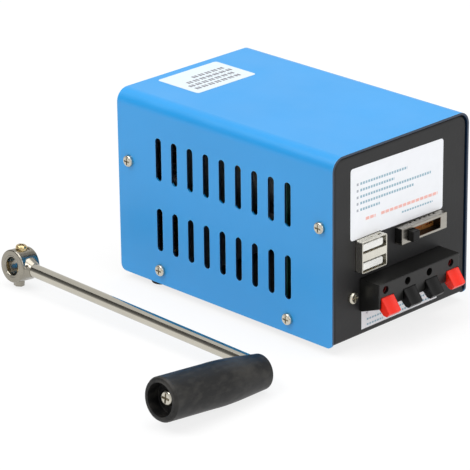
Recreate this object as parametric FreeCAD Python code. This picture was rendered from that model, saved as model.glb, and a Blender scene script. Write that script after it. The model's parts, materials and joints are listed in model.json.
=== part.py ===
import FreeCAD, Part
import math
import os

# Hand crank generator. Millimetres, +Z up, the tabletop at z = 0.
# X runs along the case towards the output panel, -Y is the slotted side in view.
# Values named _Z are heights above the case's lower edge, and up() turns them into
# heights above the tabletop. The case is built about x = 0, y = 0 and everything is
# moved at the end, so that the origin is under the middle of the box around it all.

V = FreeCAD.Vector

# How far a cutting tool reaches past a face
PAST = 1.0

# Case
CASE_L = 130.0
CASE_W = 85.0
CASE_H = 85.0
FOOT_H = 3.5
COVER_T = 1.0
COVER_R = 6.0
COVER_CORNER_R = 3.0
CHASSIS_T = 1.2
CHASSIS_LIFT = 1.0
CHASSIS_GAP = 0.15
PANEL_INSET = 0.4
BEND_R = 1.5
FLANGE_H = 12.0
FLANGE_D = 12.0
CUTOUT_GAP = 0.15

# Ventilation slots
SLOT_PITCH = 9.8
SLOT_COUNT = 9
SLOT_W = 3.6
SLOT_LEN = 20.0
SLOT_Z = (25.7, 58.5)

# Screws
M3_R = 1.5
M3_HOLE_R = 1.6
HEAD_R = 2.65
HEAD_H = 1.7
CASE_SCREW_LEN = 5.0
UPPER_SCREW = (58.0, 53.4)
LOWER_SCREW = (39.1, 6.7)
PANEL_SCREW_Y = 30.0
PANEL_SCREW_Z = 20.0

# Feet
FOOT_R = 4.5
FOOT_ROUND = 0.8
FEET = ((-47.5, -34.5), (-47.5, 34.5), (47.5, -28.0), (47.5, 28.0))

# Input shaft
SHAFT_R = 4.0
SHAFT_Y = 0.0
SHAFT_Z = 50.0
SHAFT_FREE = 15.4
SHAFT_CHAMFER = 0.5
SHAFT_SLOT_W = 2.7
SHAFT_SLOT_D = 7.5
COLLAR_R = 6.0
COLLAR_T = 3.0
GROOVE_R = 3.75
GROOVE_W = 0.9
GROOVE_GAP = 0.3
CLIP_T = 0.8
CLIP_R = 5.6
CLIP_EAR_R = 1.2
CLIP_EAR_HOLE_R = 0.5

# Gear train: tooth counts, modules, directions from one arbor to the next
RUN = 0.03
TEETH = ((48, 16), (45, 15), (42, 14))
MODULE = (1.0, 0.8, 0.8)
TRAIN_TURN = (-127.0, -6.0, 50.0)
PRESSURE = math.radians(20.0)
ADDENDUM = 0.95
DEDENDUM = 1.2
THINNING = 0.07
FLANK_STEPS = 4
PINION_PAST = 0.5
GEAR_HOLES = 6
GEAR_HOLE_R = 4.2
GEAR_HOLE_CIRCLE = 14.5
LAYER = ((-55.5, -48.5), (-46.0, -41.0), (-38.0, -34.0))
ARBOR_R = 2.0

# Gearbox plates and spacers
PLATE_A_X = -59.5
PLATE_B_X = -29.5
PLATE_T = 2.0
PLATE_HALF = 36.8
PLATE_Z = (4.0, 78.0)
PLATE_CORNER_R = 4.0
SPACER_R = 3.0
SPACERS = ((-31.5, 71.0), (31.5, 71.0), (32.0, 12.0), (-32.5, 46.0))
INPUT_BUSH_R = 6.0
BUSH_FLANGE_R = 8.0
BUSH_FLANGE_T = 1.5
ARBOR_BUSH_R = 3.2

# Generator motor
MOTOR_R = 18.0
MOTOR_L = 50.0
MOTOR_WALL = 1.2
MOTOR_FLOOR = 1.5
MOTOR_ROUND = 2.0
MOTOR_NOSE_R = 5.0
MOTOR_NOSE_OUT = 1.5
MOTOR_NOSE_FIT = 0.2
MOTOR_SHAFT_R = 1.6
MOTOR_SCREW_CIRCLE = 12.5
MOTOR_SCREW_TURN = (60.0, 240.0)
MOTOR_SCREW_HEAD = (2.5, 1.4)
MOTOR_SCREW_SHORT = 0.1
MAGNET_T = 3.2
MAGNET_X = (8.0, 12.0)
MAGNET_GAP = 3.0
ROTOR_R = 13.1
ROTOR_SLOTS = 5
ROTOR_SLOT_R = 2.6
ROTOR_SHAFT_OUT = (1.5, 1.4)
STACK_IN = 1.0
COMMUTATOR_R = 4.0
COMMUTATOR_IN = (3.0, 4.0)
CAP_T = 2.0
CAP_BOSS_R = 5.5
CAP_BOSS_T = 2.5
CAP_BORE = 1.5
TAB_Y = 11.0
TAB_T = 0.8
TAB_W = 4.6
TAB_OUT = 6.0
TAB_FIT = 0.1
TAB_ROOT = 0.2
TAB_EYE_X = 4.2
TAB_EYE_R = 0.9

# Boards and what they carry
BOARD_X = 31.0
BOARD_FACE = 32.6
BOARD_HALF = 36.0
BOARD_Z = (6.0, 74.0)
BRACKET_Y = 28.0
BRACKET_HALF = 3.0
BRACKET_OUT = (3.5, 2.0)
SINK_Y = (-34.0, -8.0)
SINK_Z = (50.0, 72.0)
SINK_BASE = 3.0
SINK_FIN = 8.4
SINK_FINS = 6
SINK_PITCH = 5.0
SINK_FIN_T = 1.2
SINK_EDGE = 0.4
CAPACITORS = ((8.0, 62.0, 6.3), (24.0, 62.0, 6.3), (24.0, 46.0, 4.0))
CAPACITOR_L = 20.0
CAPACITOR_ROUND = 0.8
CHOKE_YZ = (-20.0, 36.0)
CHOKE_R = 7.0
CHOKE_WIRE_R = 3.2
CHIPS = ((0.0, 44.0), (8.0, 31.0), (-0.2, 19.0))
CHIP_HALF = (4.5, 4.0)
CHIP_T = 2.2
USB_BOARD_X = (40.0, 50.9)
USB_BOARD_Y = (-31.0, -10.0)
USB_BOARD_Z = (28.4, 30.0)
LEAD_R = 0.9
TAB_LEAD_AT = (3.6, 2.0)
TAB_LEAD_DROP = (16.0, 22.0)
OUTPUT_LEAD_Z = (8.5, 13.5, 22.0)
OUTPUT_LEAD_X = 47.0

# Output panel
PANEL_X = CASE_L / 2 - PANEL_INSET
USB_Y = (-28.1, -12.9)
USB_Z = (31.0, 45.4)
USB_OUT = 4.0
USB_BACK_X = 51.0
USB_WALL = 0.45
USB_FLOOR = 0.6
USB_ROUND = 0.9
USB_PORT_H = 4.9
USB_RIM = 0.5
USB_MOUTH = 1.6
USB_ROOT = (0.7, 0.6, 0.1)
USB_ROOT_X = 58.0
TONGUE_TIP = 0.7
TONGUE_Y = (1.2, 1.9)
TONGUE_Z = (0.75, 1.0)
TONGUE_ROUND = 0.8
USB_LATCH = ((66.1, 66.9, -22.9, -19.6), (65.9, 67.4, -17.0, -15.0))
SWITCH_Y = (-3.5, 24.9)
SWITCH_Z = (36.8, 44.2)
SWITCH_OUT = 4.0
SWITCH_T = 0.5
SWITCH_ROUND = 0.45
SWITCH_FRAME_X = 60.5
SWITCH_FIT = 0.2
SWITCH_BACK_X = 56.0
SWITCH_FLOOR_X = 63.5
SWITCH_BOARD_T = 0.6
WINDOW_IN = (3.4, 3.9, 1.2)
WELL_IN = (3.0, 3.5, 1.0)
SWITCH_DIMPLES = 6
DIMPLE_X = (64.7, 66.2)
DIMPLE_Y = 8.3
DIMPLE_PITCH = 3.0
DIMPLE_HALF = 0.65
KNOB_W = 5.0
KNOB_OUT = 3.2
KNOB_STUB_IN = 0.45
KNOB_STUB_ROOT = 1.5
KNOB_FIT = 0.2
KNOB_SIDE_FIT = 0.15
KNOB_BLOCK_IN = 0.8
KNOB_ROUND = 0.4

# Push terminal
TERM_HALF = 25.3
TERM_TOP = 27.2
TERM_LOW = 12.6
TERM_FACE_LOW = 16.3
TERM_OUT = 11.2
TERM_ROUND = 0.4
TERM_FLANGE = (34.0, 11.0, 29.0, 2.4)
TERM_BACK_X = 56.4
WIRE_HOLE_R = 1.75
WIRE_HOLE_Z = 24.2
WIRE_HOLE_SHIFT = -1.1
WIRE_HOLE_END_X = 62.0
RING_IN = 1.4
RING_L = 4.6
RING_T = 0.4
POCKET_X = 67.5
POCKET_TOP = 21.2
LEVER_PITCH = 13.7
LEVER_SHIFT = 0.2
LEVER_W = 7.4
LEVER_GAP = 0.25
LEVER_PIVOT = (70.6, 18.4)
LEVER_ROOT_R = 1.9
LEVER_HEEL = (75.9, 20.9)
LEVER_TIP = (80.3, 15.0)
LEVER_UNDER = ((78.9, 13.3), (77.0, 13.5), (74.0, 16.2))
LEVER_ROUND = 0.5
DISH_R = 12.0
DISH_DEEP = 0.45

# Labels
LABEL_T = 0.12
LABEL_ROUND = 1.4
LABEL_GAP = 0.2
PANEL_LABEL_Y = (-31.3, 26.4)
PANEL_LABEL_Z = (45.6, 77.6)
PANEL_LABEL_TILT = math.tan(math.radians(1.2))
TERM_LABEL_Y = (-24.3, 23.4)
TERM_LABEL_Z = (3.6, 12.1)
TOP_LABEL_X = (-60.5, -34.8)
TOP_LABEL_Y = (-22.2, 13.9)

# Crank
CRANK_R = 154.3
HUB_R = 7.5
HUB_HALF = 5.1
HUB_ROUND = 0.7
HUB_FLAT = 7.0
HUB_FLAT_HALF = 3.4
BORE_R = 4.06
BORE_CHAMFER = 0.35
BUSH_WALL = 0.9
BUSH_LEN = 2.6
BUSH_SHORT = 0.05
NECK = ((6.0, 4.9), (9.8, 3.15))
PIN_R = 0.6
PIN_X = 7.95
PIN_Z = 1.9
PIN_HALF = 2.9
BOLT_R = 1.25
BOLT_HEAD_R = 2.6
BOLT_HEAD_H = 2.3
BOLT_TIP = 9.9
NUT_FLATS = 4.2
NUT_TURN = 45.0
NUT_H = 2.75
ARM_R = 3.0
ARM_START = 5.4
ARM_BEND_R = 4.0

# Grip, radii at distances from its back face
GRIP_BACK = 4.2
GRIP_LEN = 57.15
GRIP_EDGE = 0.5
GRIP_TAPER = ((0.5, 7.6), (8.0, 8.3), (17.0, 9.1), (30.0, 9.45))
GRIP_END_R = 9.45
GRIP_NOSE = ((0.0, 1.2), (0.5, 0.35), (1.3, 0.0))
GRIP_RECESS = 5.8
GRIP_RECESS_R = (7.1, 6.9)
GRIP_RUN = 0.05
SPINDLE_PROUD = 0.2
GRIP_SCREW_L = 12.0
GRIP_SCREW_HEAD = (3.5, 2.6)

# The crank as it lies on the table, and the hub's place on the shaft
HUB_REST = (-89.6, -80.8, 10.006)
ARM_DIP = math.radians(1.07)
GRIP_LIFT = math.radians(6.3)
HUB_ON_SHAFT_X = -CASE_L / 2 - 10.6


# Plain helpers


def box(x0, x1, y0, y1, z0, z1):
    return Part.makeBox(x1 - x0, y1 - y0, z1 - z0, V(x0, y0, z0))


def rod(r, a, b):
    """Round bar from point a to point b."""
    a = V(*a)
    b = V(*b)
    return Part.makeCylinder(r, (b - a).Length, a, b - a)


def cone(r0, r1, a, b):
    a = V(*a)
    b = V(*b)
    return Part.makeCone(r0, r1, (b - a).Length, a, b - a)


def bar_x(r, x0, x1, y, z):
    """Round bar along x at y and at height z above the case's lower edge."""
    return rod(r, (x0, y, up(z)), (x1, y, up(z)))


def prism(points, move):
    wire = Part.makePolygon([V(*p) for p in points] + [V(*points[0])])
    return Part.Face(wire).extrude(V(*move))


def group(shapes):
    return Part.makeCompound(shapes)


def join(shapes):
    return shapes[0].fuse(shapes[1:]).removeSplitter()


def edges_where(shape, test):
    return [e for e in shape.Edges if test(e)]


def along(edge, axis):
    a = edge.Vertexes[0].Point
    b = edge.Vertexes[-1].Point
    d = b - a
    n = V(*axis)
    if d.Length < 1e-6:
        return False
    return abs(abs(d.dot(n)) / d.Length / n.Length - 1.0) < 1e-6


def near(a, b):
    return abs(a - b) < 0.01


def up(z):
    """Height above the tabletop of a height above the case's lower edge."""
    return FOOT_H + z


# Case sheet metal


def rounded_block(half_x, half_y, z0, z1, r_top, r_low, r_end):
    """Block with rounded long edges and rounded edges around both ends."""
    b = box(-half_x, half_x, -half_y, half_y, z0, z1)
    tops = edges_where(b, lambda e: along(e, (1, 0, 0)) and near(e.CenterOfMass.z, z1))
    b = b.makeFillet(r_top, tops)
    lows = edges_where(b, lambda e: along(e, (1, 0, 0)) and near(e.CenterOfMass.z, z0))
    b = b.makeFillet(r_low, lows)
    ends = edges_where(b, lambda e: near(abs(e.CenterOfMass.x), half_x))
    return b.makeFillet(r_end, ends)


def round_top(shape, radius, z):
    """Rounds the long edges at height z."""
    tops = edges_where(shape, lambda e: along(e, (1, 0, 0)) and near(e.CenterOfMass.z, z))
    return shape.makeFillet(radius, tops)


def case_screw_points(side):
    """Seats of the four screws in one side of the cover."""
    points = []
    for x, z in (UPPER_SCREW, LOWER_SCREW):
        for end in (-1, 1):
            points.append((end * x, side * CASE_W / 2, up(z)))
    return points


def make_slot_cutter(x, z):
    """Upright slot with round ends, right through the case."""
    reach = CASE_W / 2 + PAST
    half = (SLOT_LEN - SLOT_W) / 2
    r = SLOT_W / 2
    cutters = [box(x - r, x + r, -reach, reach, up(z - half), up(z + half))]
    for end in (-half, half):
        cutters.append(rod(r, (x, -reach, up(z + end)), (x, reach, up(z + end))))
    return cutters


def make_cover():
    """Blue inverted U with rounded long bends, slots and screw holes in both sides."""
    hx = CASE_L / 2
    hy = CASE_W / 2
    outer = round_top(box(-hx, hx, -hy, hy, up(0), up(CASE_H)), COVER_R, up(CASE_H))
    lower_corners = edges_where(
        outer, lambda e: near(abs(e.CenterOfMass.x), hx) and near(e.CenterOfMass.z, up(0))
    )
    outer = outer.makeFillet(COVER_CORNER_R, lower_corners)
    yi = hy - COVER_T
    zi = up(CASE_H - COVER_T)
    inner = box(-hx - PAST, hx + PAST, -yi, yi, up(-PAST), zi)
    cuts = [round_top(inner, COVER_R - COVER_T, zi)]
    first = -SLOT_PITCH * (SLOT_COUNT - 1) / 2
    for i in range(SLOT_COUNT):
        for z in SLOT_Z:
            cuts += make_slot_cutter(first + SLOT_PITCH * i, z)
    for x, y, z in case_screw_points(1):
        cuts.append(rod(M3_HOLE_R, (x, -hy - PAST, z), (x, hy + PAST, z)))
    return outer.cut(cuts)


def panel_cutter(y0, y1, z0, z1):
    """Cuts a window through the output end plate, a little larger than what fills it."""
    g = CUTOUT_GAP
    x0 = PANEL_X - CHASSIS_T - PAST
    return box(x0, PANEL_X + PAST, y0 - g, y1 + g, up(z0 - g), up(z1 + g))


def make_chassis():
    """Black tray: floor with low side flanges and a cup-shaped plate at each end."""
    hx = PANEL_X
    hy = CASE_W / 2 - COVER_T - CHASSIS_GAP
    z0 = up(CHASSIS_LIFT)
    z1 = up(CASE_H - COVER_T - CHASSIS_GAP)
    t = CHASSIS_T
    inner_bend = BEND_R - t
    outer = rounded_block(hx, hy, z0, z1, COVER_R - COVER_T, BEND_R, BEND_R)
    inner = rounded_block(hx - t, hy - t, z0 + t, z1 - t, COVER_R - COVER_T - t, inner_bend, inner_bend)
    span = hx - FLANGE_D
    cuts = [inner, box(-span, span, -hy - PAST, hy + PAST, z0 + FLANGE_H, z1 + PAST)]
    for side in (-1, 1):
        for x, _, z in case_screw_points(side):
            cuts.append(rod(M3_R, (x, side * (hy - t - PAST), z), (x, side * (hy + PAST), z)))
        y = side * PANEL_SCREW_Y
        cuts.append(bar_x(M3_HOLE_R, hx - t - PAST, hx + PAST, y, PANEL_SCREW_Z))
    cuts.append(panel_cutter(*USB_Y, *USB_Z))
    cuts.append(panel_cutter(*SWITCH_Y, *SWITCH_Z))
    cuts.append(panel_cutter(-TERM_HALF, TERM_HALF, TERM_LOW, TERM_TOP))
    cuts.append(bar_x(INPUT_BUSH_R, -hx - PAST, -hx + t + PAST, SHAFT_Y, SHAFT_Z))
    for y, z in SPACERS:
        cuts.append(bar_x(M3_HOLE_R, -hx - PAST, -hx + t + PAST, y, z))
    return outer.cut(cuts)


def make_feet():
    feet = []
    for x, y in FEET:
        f = rod(FOOT_R, (x, y, 0), (x, y, up(CHASSIS_LIFT)))
        rim = edges_where(f, lambda e: e.Closed and near(e.CenterOfMass.z, 0))
        feet.append(f.makeFillet(FOOT_ROUND, rim))
    return group(feet)


# Fasteners


def pan_screw(at, out, length, head_r=HEAD_R, head_h=HEAD_H, shank_r=M3_R):
    """Pan head screw with a cross recess, head seated at point at, facing out."""
    a = V(*at)
    d = V(*out)
    d.normalize()
    head = Part.makeCylinder(head_r, head_h, a, d)
    rim = edges_where(head, lambda e: e.Closed and (e.CenterOfMass - a).dot(d) > head_h / 2)
    head = head.makeFillet(head_h * 0.55, rim)
    shank = Part.makeCylinder(shank_r, length, a - d * length, d)
    side = d.cross(V(0, 0, 1))
    if side.Length < 0.1:
        side = V(1, 0, 0)
    side.normalize()
    other = d.cross(side)
    arm_w = head_r * 0.26
    arm_l = head_r * 1.24
    deep = head_h * 0.6
    cuts = []
    for u, v in ((side, other), (other, side)):
        start = a + d * (head_h - deep) - u * arm_l / 2 - v * arm_w / 2
        corners = [start, start + u * arm_l, start + u * arm_l + v * arm_w, start + v * arm_w]
        cuts.append(prism([tuple(p) for p in corners], tuple(d * (deep + PAST))))
    return head.fuse(shank).cut(cuts)


def make_cover_screws():
    screws = []
    for side in (-1, 1):
        for p in case_screw_points(side):
            screws.append(pan_screw(p, (0, side, 0), CASE_SCREW_LEN))
    return group(screws)


def make_panel_screws():
    screws = []
    for side in (-1, 1):
        seat = (PANEL_X, side * PANEL_SCREW_Y, up(PANEL_SCREW_Z))
        screws.append(pan_screw(seat, (1, 0, 0), CASE_SCREW_LEN))
    return group(screws)


# Gear train


def train_centres():
    """Centres in y and z of the input shaft, both idlers and the rotor."""
    centres = [(SHAFT_Y, SHAFT_Z)]
    for (wheel, pinion), module, turn in zip(TEETH, MODULE, TRAIN_TURN):
        reach = module * (wheel + pinion) / 2
        t = math.radians(turn)
        y, z = centres[-1]
        centres.append((y + reach * math.cos(t), z + reach * math.sin(t)))
    return centres


def involute(angle):
    return math.tan(angle) - angle


def gear_outline(teeth, module, phase, centre, x):
    """Closed outline of a spur gear in the plane at x, a tooth centred on phase."""
    r = module * teeth / 2
    base = r * math.cos(PRESSURE)
    tip = r + ADDENDUM * module
    root = r - DEDENDUM * module
    half = math.pi / (2 * teeth) - THINNING / r
    start = max(base, root)
    flank = []
    for i in range(FLANK_STEPS + 1):
        rho = start + (tip - start) * i / FLANK_STEPS
        a = math.acos(min(1.0, base / rho))
        flank.append((rho, half + involute(PRESSURE) - involute(a)))
    if root < base:
        flank.insert(0, (root, flank[0][1]))
    points = []
    for k in range(teeth):
        mid = phase + 2 * math.pi * k / teeth
        for rho, w in flank:
            points.append((rho, mid - w))
        for rho, w in reversed(flank):
            points.append((rho, mid + w))
    cy, cz = centre
    return [(x, cy + rho * math.cos(t), up(cz) + rho * math.sin(t)) for rho, t in points]


def gear(teeth, module, phase, centre, x0, x1, bore):
    body = prism(gear_outline(teeth, module, phase, centre, x0), (x1 - x0, 0, 0))
    return body.cut(bar_x(bore, x0 - PAST, x1 + PAST, *centre))


def facing(a, b):
    """Direction from centre a to centre b."""
    return math.atan2(b[1] - a[1], b[0] - a[0])


def mesh_phase(a, b, teeth):
    """Phase of a gear at b that puts a tooth gap towards a."""
    return facing(b, a) + math.pi / teeth


def plate(x0, holes):
    """Gearbox plate with the spacers' screw holes and its bearing holes."""
    p = box(x0, x0 + PLATE_T, -PLATE_HALF, PLATE_HALF, up(PLATE_Z[0]), up(PLATE_Z[1]))
    p = p.makeFillet(PLATE_CORNER_R, edges_where(p, lambda e: along(e, (1, 0, 0))))
    cuts = []
    for (y, z), r in holes:
        cuts.append(bar_x(r, x0 - PAST, x0 + PLATE_T + PAST, y, z))
    for y, z in SPACERS:
        cuts.append(bar_x(M3_R, x0 - PAST, x0 + PLATE_T + PAST, y, z))
    return p.cut(cuts)


def bearing_holes():
    shaft, idler_1, idler_2, _ = train_centres()
    return [(shaft, INPUT_BUSH_R), (idler_1, ARBOR_BUSH_R), (idler_2, ARBOR_BUSH_R)]


def make_front_plate():
    return plate(PLATE_A_X, bearing_holes())


def motor_screw_points():
    y, z = train_centres()[3]
    points = []
    for turn in MOTOR_SCREW_TURN:
        t = math.radians(turn)
        points.append((y + MOTOR_SCREW_CIRCLE * math.cos(t), z + MOTOR_SCREW_CIRCLE * math.sin(t)))
    return points


def make_back_plate():
    holes = bearing_holes()
    holes.append((train_centres()[3], MOTOR_NOSE_R + MOTOR_NOSE_FIT))
    for p in motor_screw_points():
        holes.append((p, M3_HOLE_R))
    return plate(PLATE_B_X, holes)


def make_spacers():
    """Round spacers from the end plate to the front gearbox plate and on to the back one."""
    spacers = []
    inside = -PANEL_X + CHASSIS_T
    for y, z in SPACERS:
        for x0, x1 in ((inside, PLATE_A_X), (PLATE_A_X + PLATE_T, PLATE_B_X)):
            tube = bar_x(SPACER_R, x0, x1, y, z)
            spacers.append(tube.cut(bar_x(M3_R, x0 - PAST, x1 + PAST, y, z)))
    return group(spacers)


def make_post_screws():
    """Screws through the end plate, the spacers and both plates."""
    reach = PLATE_B_X + PLATE_T + PANEL_X
    return group([pan_screw((-PANEL_X, y, up(z)), (-1, 0, 0), reach) for y, z in SPACERS])


def bush(outer_r, inner_r, x0, x1, centre):
    tube = bar_x(outer_r, x0, x1, *centre)
    return tube.cut(bar_x(inner_r, x0 - PAST, x1 + PAST, *centre))


def make_input_bushes():
    """Long bush from the end plate through the front plate, with a flange, and a short one."""
    centre = train_centres()[0]
    r = SHAFT_R + RUN
    face = -PANEL_X - BUSH_FLANGE_T
    long_bush = join(
        [
            bush(INPUT_BUSH_R, r, -PANEL_X, PLATE_A_X + PLATE_T, centre),
            bush(BUSH_FLANGE_R, r, face, -PANEL_X, centre),
        ]
    )
    return group([long_bush, bush(INPUT_BUSH_R, r, PLATE_B_X, PLATE_B_X + PLATE_T, centre)])


def make_idler_bushes():
    bushes = []
    for centre in train_centres()[1:3]:
        for x0 in (PLATE_A_X, PLATE_B_X):
            bushes.append(bush(ARBOR_BUSH_R, ARBOR_R + RUN, x0, x0 + PLATE_T, centre))
    return group(bushes)


def groove_span():
    """Both edges in x of the groove in the shaft, just outside the bush flange."""
    near_edge = -PANEL_X - BUSH_FLANGE_T - GROOVE_GAP
    return near_edge - GROOVE_W, near_edge


def shaft_end_x():
    return -PANEL_X - BUSH_FLANGE_T - SHAFT_FREE


def make_input_shaft():
    """Shaft with a chamfered free end, a cross slot, a clip groove and the gear's collar."""
    y, z = train_centres()[0]
    x_end = shaft_end_x()
    s = bar_x(SHAFT_R, x_end, PLATE_B_X + PLATE_T, y, z)
    s = s.makeChamfer(SHAFT_CHAMFER, edges_where(s, lambda e: e.Closed and near(e.CenterOfMass.x, x_end)))
    along_bolt = crank_fit()["bolt_on_shaft"]
    dy, dz = along_bolt.y, along_bolt.z
    w = SHAFT_SLOT_W / 2
    far = SHAFT_R + PAST
    corners = []
    for a, b in ((far, w), (far, -w), (-far, -w), (-far, w)):
        corners.append((x_end - PAST, y + dy * a - dz * b, up(z) + dz * a + dy * b))
    slot = prism(corners, (SHAFT_SLOT_D + PAST, 0, 0))
    g0, g1 = groove_span()
    groove = bush(SHAFT_R + PAST, GROOVE_R, g0, g1, (y, z))
    c0 = LAYER[0][1]
    collar = bar_x(COLLAR_R, c0, c0 + COLLAR_T, y, z)
    return join([s.cut([slot, groove]), collar])


def make_shaft_clip():
    """Retaining ring in the shaft's groove, open at the bottom between two eyes."""
    y, z = train_centres()[0]
    g0, g1 = groove_span()
    x0 = (g0 + g1 - CLIP_T) / 2
    x1 = x0 + CLIP_T
    ring = bush(CLIP_R, GROOVE_R + RUN, x0, x1, (y, z))
    low = z - CLIP_R
    ears = [bar_x(CLIP_EAR_R, x0, x1, y + s * 1.5 * CLIP_EAR_R, low) for s in (-1, 1)]
    half = CLIP_EAR_R / 2
    cuts = [box(x0 - PAST, x1 + PAST, y - half, y + half, up(low - 2 * CLIP_EAR_R), up(z))]
    for s in (-1, 1):
        cuts.append(bar_x(CLIP_EAR_HOLE_R, x0 - PAST, x1 + PAST, y + s * 1.5 * CLIP_EAR_R, low))
    return join([ring] + ears).cut(cuts)


def make_input_gear():
    centre = train_centres()[0]
    x0, x1 = LAYER[0]
    wheel = gear(TEETH[0][0], MODULE[0], facing(*train_centres()[:2]), centre, x0, x1, SHAFT_R)
    cuts = []
    for k in range(GEAR_HOLES):
        t = 2 * math.pi * (k + 1 / 3) / GEAR_HOLES
        y = centre[0] + GEAR_HOLE_CIRCLE * math.cos(t)
        z = centre[1] + GEAR_HOLE_CIRCLE * math.sin(t)
        cuts.append(bar_x(GEAR_HOLE_R, x0 - PAST, x1 + PAST, y, z))
    return wheel.cut(cuts)


def make_idler_pinion(index):
    """Arbor with its pinion cut in one piece; index is 1 or 2."""
    before, here = train_centres()[index - 1 : index + 1]
    teeth = TEETH[index - 1][1]
    x0 = LAYER[index - 1][0] - PINION_PAST
    x1 = LAYER[index - 1][1] + PINION_PAST
    phase = mesh_phase(before, here, teeth)
    pinion = gear(teeth, MODULE[index - 1], phase, here, x0, x1, ARBOR_R / 2)
    return join([pinion, bar_x(ARBOR_R, PLATE_A_X, PLATE_B_X + PLATE_T, *here)])


def make_idler_gear(index):
    here, after = train_centres()[index : index + 2]
    return gear(TEETH[index][0], MODULE[index], facing(here, after), here, *LAYER[index], ARBOR_R)


def make_motor_pinion():
    before, here = train_centres()[2:4]
    teeth = TEETH[2][1]
    x0 = LAYER[2][0] - PINION_PAST
    x1 = LAYER[2][1] + PINION_PAST
    return gear(teeth, MODULE[2], mesh_phase(before, here, teeth), here, x0, x1, MOTOR_SHAFT_R)


# Generator motor


def motor_x():
    return PLATE_B_X + PLATE_T, PLATE_B_X + PLATE_T + MOTOR_L


def make_motor_can():
    """Deep drawn can with a bearing nose, closed at the gearbox end."""
    centre = train_centres()[3]
    x0, x1 = motor_x()
    can = bar_x(MOTOR_R, x0, x1, *centre)
    can = can.makeFillet(MOTOR_ROUND, edges_where(can, lambda e: e.Closed and near(e.CenterOfMass.x, x0)))
    can = join([can, bar_x(MOTOR_NOSE_R, x0 - MOTOR_NOSE_OUT, x0 + MOTOR_FLOOR / 2, *centre)])
    cuts = [bar_x(MOTOR_R - MOTOR_WALL, x0 + MOTOR_FLOOR, x1 + PAST, *centre)]
    front = x0 - MOTOR_NOSE_OUT - PAST
    cuts.append(bar_x(MOTOR_SHAFT_R + RUN, front, x0 + MOTOR_FLOOR + PAST, *centre))
    for y, z in motor_screw_points():
        cuts.append(bar_x(M3_R, x0 - PAST, x0 + MOTOR_FLOOR + PAST, y, z))
    return can.cut(cuts)


def make_motor_magnets():
    """Two curved magnets against the can's wall."""
    y, z = train_centres()[3]
    x0 = motor_x()[0] + MAGNET_X[0]
    x1 = motor_x()[1] - MAGNET_X[1]
    outer = MOTOR_R - MOTOR_WALL
    ring = bush(outer, outer - MAGNET_T, x0, x1, (y, z))
    gap = MAGNET_GAP
    return ring.cut(box(x0 - PAST, x1 + PAST, y - MOTOR_R, y + MOTOR_R, up(z - gap), up(z + gap)))


def make_motor_cap():
    """Plastic end cap with a bearing boss and a slot for each tab."""
    y, z = train_centres()[3]
    x1 = motor_x()[1]
    disc = bar_x(MOTOR_R - MOTOR_WALL, x1 - CAP_T, x1, y, z)
    boss = bar_x(CAP_BOSS_R, x1, x1 + CAP_BOSS_T, y, z)
    cuts = [bar_x(MOTOR_SHAFT_R + RUN, x1 - CAP_T - PAST, x1 + CAP_BORE, y, z)]
    t = TAB_T / 2 + TAB_FIT
    w = TAB_W / 2 + TAB_FIT
    for side in (-1, 1):
        mid = y + side * TAB_Y
        cuts.append(box(x1 - CAP_T - PAST, x1 + PAST, mid - t, mid + t, up(z - w), up(z + w)))
    return disc.fuse(boss).cut(cuts)


def make_motor_tabs():
    y, z = train_centres()[3]
    x1 = motor_x()[1]
    t = TAB_T / 2
    w = TAB_W / 2
    tabs = []
    for side in (-1, 1):
        mid = y + side * TAB_Y
        tab = box(x1 - CAP_T + TAB_ROOT, x1 + TAB_OUT, mid - t, mid + t, up(z - w), up(z + w))
        eye_x = x1 + TAB_EYE_X
        tabs.append(tab.cut(rod(TAB_EYE_R, (eye_x, mid - PAST, up(z)), (eye_x, mid + PAST, up(z)))))
    return group(tabs)


def make_motor_screws():
    screws = []
    length = PLATE_T + MOTOR_FLOOR - MOTOR_SCREW_SHORT
    for y, z in motor_screw_points():
        screws.append(pan_screw((PLATE_B_X, y, up(z)), (-1, 0, 0), length, *MOTOR_SCREW_HEAD))
    return group(screws)


def make_rotor():
    """Armature stack with slots, commutator and the motor's shaft."""
    y, z = train_centres()[3]
    x0, x1 = motor_x()
    s0 = x0 + MAGNET_X[0] + STACK_IN
    s1 = x1 - MAGNET_X[1] - STACK_IN
    shaft = bar_x(MOTOR_SHAFT_R, LAYER[2][0] - ROTOR_SHAFT_OUT[0], x1 + ROTOR_SHAFT_OUT[1], y, z)
    stack = bar_x(ROTOR_R, s0, s1, y, z)
    cuts = []
    for k in range(ROTOR_SLOTS):
        t = 2 * math.pi * k / ROTOR_SLOTS
        cy = y + ROTOR_R * math.cos(t)
        cz = z + ROTOR_R * math.sin(t)
        cuts.append(bar_x(ROTOR_SLOT_R, s0 - PAST, s1 + PAST, cy, cz))
    commutator = bar_x(COMMUTATOR_R, s1 + COMMUTATOR_IN[0], x1 - COMMUTATOR_IN[1], y, z)
    return join([shaft, stack.cut(cuts), commutator])


# Boards and wiring inside


def make_regulator_board():
    return box(BOARD_X, BOARD_FACE, -BOARD_HALF, BOARD_HALF, up(BOARD_Z[0]), up(BOARD_Z[1]))


def make_board_brackets():
    """Two feet between the tray's floor and the board's lower edge."""
    floor = up(CHASSIS_LIFT + CHASSIS_T)
    feet = []
    x0 = BOARD_X - BRACKET_OUT[0]
    x1 = BOARD_FACE + BRACKET_OUT[1]
    for side in (-1, 1):
        y = side * BRACKET_Y
        feet.append(box(x0, x1, y - BRACKET_HALF, y + BRACKET_HALF, floor, up(BOARD_Z[0])))
    return group(feet)


def make_heat_sink():
    front = BOARD_FACE + SINK_BASE
    parts = [box(BOARD_FACE, front, *SINK_Y, up(SINK_Z[0]), up(SINK_Z[1]))]
    for k in range(SINK_FINS):
        y = SINK_Y[0] + SINK_EDGE + SINK_PITCH * k
        parts.append(box(front, front + SINK_FIN, y, y + SINK_FIN_T, up(SINK_Z[0]), up(SINK_Z[1])))
    return join(parts)


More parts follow.
